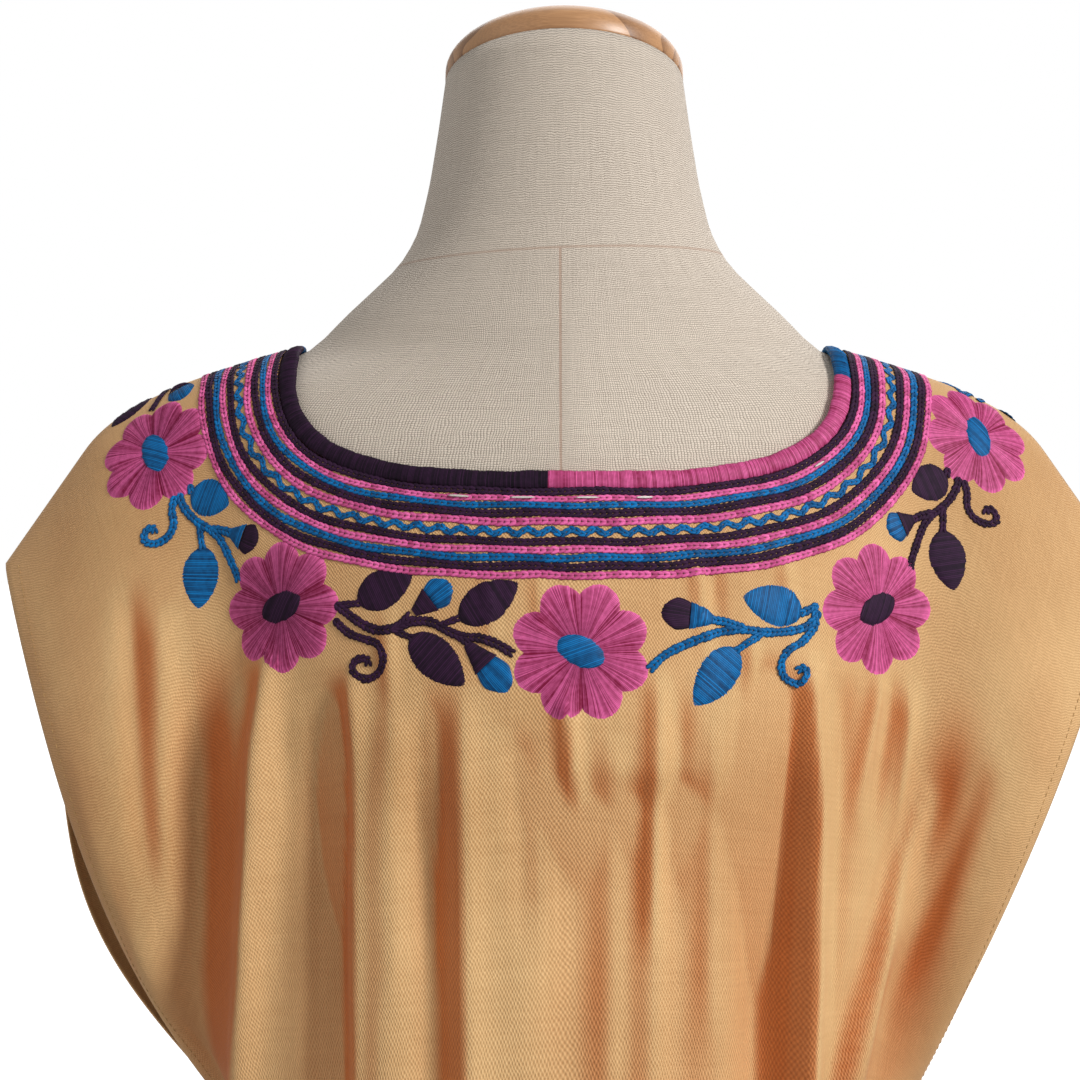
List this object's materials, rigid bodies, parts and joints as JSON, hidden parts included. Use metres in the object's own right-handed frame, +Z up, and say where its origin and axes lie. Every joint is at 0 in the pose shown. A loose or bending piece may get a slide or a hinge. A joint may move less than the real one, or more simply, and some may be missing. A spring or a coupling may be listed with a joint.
{
  "type": "embroidered blouse on a dress form",
  "caption": "Loose cotton blouse with a round, rolled neck edge and short kimono sleeves, worn by a limbless linen-covered dress form on a pole and round base.",
  "frame": {"origin": "centre of the overall box, at the underside of the round base", "axes": "+Z up, the wearer's front faces -Y and the back faces +Y, +X is the wearer's left"},
  "size_m": [0.5378, 0.33, 1.0571],
  "materials": {
    "mustard_cotton": "fine plain weave with a soft sheen",
    "embroidery_thread": "satin-wrapped cotton thread",
    "form_linen": "open plain weave with slubs",
    "honey_wood": "satin varnish",
    "stand_steel": "satin"
  },
  "bodies": {
    "root": {"blouse_back": "mustard_cotton", "blouse_front": "mustard_cotton", "neck_roll": "embroidery_thread", "form_body": "form_linen", "form_neck_cap": "honey_wood", "stand_pole": "stand_steel", "stand_base": "honey_wood"}
  },
  "joints": []
}
